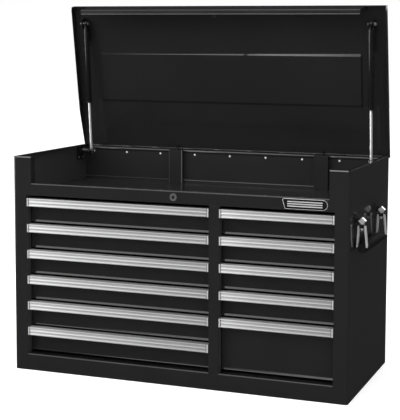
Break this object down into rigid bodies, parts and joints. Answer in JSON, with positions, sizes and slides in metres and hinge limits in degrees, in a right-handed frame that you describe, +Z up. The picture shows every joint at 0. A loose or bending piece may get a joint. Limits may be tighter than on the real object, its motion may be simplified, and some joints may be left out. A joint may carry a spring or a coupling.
{
  "type": "tool chest",
  "caption": "Steel top tool chest with a gas-strut lid over an open till, two banks of drawers with full-width aluminium pulls, a key lock and drop handles.",
  "frame": {"origin": "middle of the underside of the cabinet", "axes": "+X to the right seen from the front, -Y to the front, +Z up"},
  "size_m": [1.107, 0.4668, 1.0995],
  "materials": {
    "black_paint": "gloss powder coat",
    "inside_paint": "semi-gloss powder coat",
    "pull_aluminium": "brushed, clear anodised",
    "chrome": "bright plated",
    "zinc_steel": "zinc plated",
    "grip_vinyl": "satin vinyl",
    "strut_paint": "satin"
  },
  "bodies": {
    "cabinet": {"side_panel_left": "black_paint", "side_panel_right": "black_paint", "back_panel": "inside_paint", "base_panel": "black_paint", "till_floor": "inside_paint", "top_rail": "black_paint", "bottom_rail": "black_paint", "centre_post": "black_paint", "centre_partition": "inside_paint", "rear_uprights": "inside_paint", "slide_rails_left_bank": "zinc_steel", "slide_rails_right_bank": "zinc_steel", "hinge_back_leaf": "black_paint", "hinge_rivets": "zinc_steel", "strut_brackets": "black_paint", "lock_rod_covers": "inside_paint", "lock_housing": "chrome", "badge_plate": "chrome", "handle_base_plates": "black_paint"},
    "lid": {"lid_pan": "black_paint", "lid_drop_front": "black_paint", "lid_stiffener": "black_paint", "lid_hinge_leaf": "black_paint", "hinge_pin": "zinc_steel", "lid_strut_studs": "black_paint", "lid_strike": "zinc_steel", "lid_push_tabs": "black_paint"},
    "left_strut_cylinder": {"strut_left_cylinder": "strut_paint"},
    "left_strut_rod": {"strut_left_rod": "chrome"},
    "right_strut_cylinder": {"strut_right_cylinder": "strut_paint"},
    "right_strut_rod": {"strut_right_rod": "chrome"},
    "lock": {"lock_plug": "chrome"},
    "left_lock_rod": {"lock_rod_left": "black_paint"},
    "right_lock_rod": {"lock_rod_right": "black_paint"},
    "left_handle": {"handle_left_arms": "chrome", "handle_left_grip": "grip_vinyl"},
    "right_handle": {"handle_right_arms": "chrome", "handle_right_grip": "grip_vinyl"},
    "drawer_left_1": {"drawer_left_1_tray": "black_paint", "drawer_left_1_pull": "pull_aluminium"},
    "drawer_left_2": {"drawer_left_2_tray": "black_paint", "drawer_left_2_pull": "pull_aluminium"},
    "drawer_left_3": {"drawer_left_3_tray": "black_paint", "drawer_left_3_pull": "pull_aluminium"},
    "drawer_left_4": {"drawer_left_4_tray": "black_paint", "drawer_left_4_pull": "pull_aluminium"},
    "drawer_left_5": {"drawer_left_5_tray": "black_paint", "drawer_left_5_pull": "pull_aluminium"},
    "drawer_left_6": {"drawer_left_6_tray": "black_paint", "drawer_left_6_pull": "pull_aluminium"},
    "drawer_right_1": {"drawer_right_1_tray": "black_paint", "drawer_right_1_pull": "pull_aluminium"},
    "drawer_right_2": {"drawer_right_2_tray": "black_paint", "drawer_right_2_pull": "pull_aluminium"},
    "drawer_right_3": {"drawer_right_3_tray": "black_paint", "drawer_right_3_pull": "pull_aluminium"},
    "drawer_right_4": {"drawer_right_4_tray": "black_paint", "drawer_right_4_pull": "pull_aluminium"},
    "drawer_right_5": {"drawer_right_5_tray": "black_paint", "drawer_right_5_pull": "pull_aluminium"}
  },
  "joints": [
    {"name": "lid_hinge", "type": "hinge", "parent": "cabinet", "child": "lid", "pos_m": [0, 0.231, 0.642], "axis": [1, 0, 0], "range_deg": [0, 81], "stiffness_Nm_per_rad": 7, "springref_deg": -57.3},
    {"name": "left_strut_swing", "type": "hinge", "parent": "lid", "child": "left_strut_cylinder", "pos_m": [-0.473, 0.15062, 1.04337], "axis": [1, 0, 0], "range_deg": [0, 4.58]},
    {"name": "left_strut_slide", "type": "slide", "parent": "left_strut_cylinder", "child": "left_strut_rod", "axis": [0, 0.0823, -0.9966], "range_m": [-0.0551, 0]},
    {"name": "left_lock_rod_slide", "type": "slide", "parent": "cabinet", "child": "left_lock_rod", "axis": [0, 0, 1], "range_m": [-0.0122, 0]},
    {"name": "right_strut_swing", "type": "hinge", "parent": "lid", "child": "right_strut_cylinder", "pos_m": [0.473, 0.15062, 1.04337], "axis": [1, 0, 0], "range_deg": [0, 4.58]},
    {"name": "right_strut_slide", "type": "slide", "parent": "right_strut_cylinder", "child": "right_strut_rod", "axis": [0, 0.0823, -0.9966], "range_m": [-0.0551, 0]},
    {"name": "right_lock_rod_slide", "type": "slide", "parent": "cabinet", "child": "right_lock_rod", "axis": [0, 0, 1], "range_m": [-0.0122, 0]},
    {"name": "lock_turn", "type": "hinge", "parent": "cabinet", "child": "lock", "pos_m": [0, -0.2285, 0.548], "axis": [0, -1, 0], "range_deg": [0, 90]},
    {"name": "left_handle_swing", "type": "hinge", "parent": "cabinet", "child": "left_handle", "pos_m": [-0.5375, 0, 0.503], "axis": [0, 1, 0], "range_deg": [0, 90]},
    {"name": "right_handle_swing", "type": "hinge", "parent": "cabinet", "child": "right_handle", "pos_m": [0.5375, -0.05, 0.503], "axis": [0, -1, 0], "range_deg": [0, 90]},
    {"name": "drawer_left_1_slide", "type": "slide", "parent": "cabinet", "child": "drawer_left_1", "axis": [0, -1, 0], "range_m": [0, 0.33]},
    {"name": "drawer_left_2_slide", "type": "slide", "parent": "cabinet", "child": "drawer_left_2", "axis": [0, -1, 0], "range_m": [0, 0.33]},
    {"name": "drawer_left_3_slide", "type": "slide", "parent": "cabinet", "child": "drawer_left_3", "axis": [0, -1, 0], "range_m": [0, 0.33]},
    {"name": "drawer_left_4_slide", "type": "slide", "parent": "cabinet", "child": "drawer_left_4", "axis": [0, -1, 0], "range_m": [0, 0.33]},
    {"name": "drawer_left_5_slide", "type": "slide", "parent": "cabinet", "child": "drawer_left_5", "axis": [0, -1, 0], "range_m": [0, 0.33]},
    {"name": "drawer_left_6_slide", "type": "slide", "parent": "cabinet", "child": "drawer_left_6", "axis": [0, -1, 0], "range_m": [0, 0.33]},
    {"name": "drawer_right_1_slide", "type": "slide", "parent": "cabinet", "child": "drawer_right_1", "axis": [0, -1, 0], "range_m": [0, 0.33]},
    {"name": "drawer_right_2_slide", "type": "slide", "parent": "cabinet", "child": "drawer_right_2", "axis": [0, -1, 0], "range_m": [0, 0.33]},
    {"name": "drawer_right_3_slide", "type": "slide", "parent": "cabinet", "child": "drawer_right_3", "axis": [0, -1, 0], "range_m": [0, 0.33]},
    {"name": "drawer_right_4_slide", "type": "slide", "parent": "cabinet", "child": "drawer_right_4", "axis": [0, -1, 0], "range_m": [0, 0.33]},
    {"name": "drawer_right_5_slide", "type": "slide", "parent": "cabinet", "child": "drawer_right_5", "axis": [0, -1, 0], "range_m": [0, 0.33]}
  ],
  "couplings": [
    {"joint": "left_strut_swing", "follows": "lid_hinge", "ratio": 0.055958},
    {"joint": "left_strut_slide", "follows": "lid_hinge", "m_per_rad": -0.03875},
    {"joint": "left_lock_rod_slide", "follows": "lid_hinge", "m_per_rad": -0.008488},
    {"joint": "right_strut_swing", "follows": "lid_hinge", "ratio": 0.055958},
    {"joint": "right_strut_slide", "follows": "lid_hinge", "m_per_rad": -0.03875},
    {"joint": "right_lock_rod_slide", "follows": "lid_hinge", "m_per_rad": -0.008488}
  ]
}
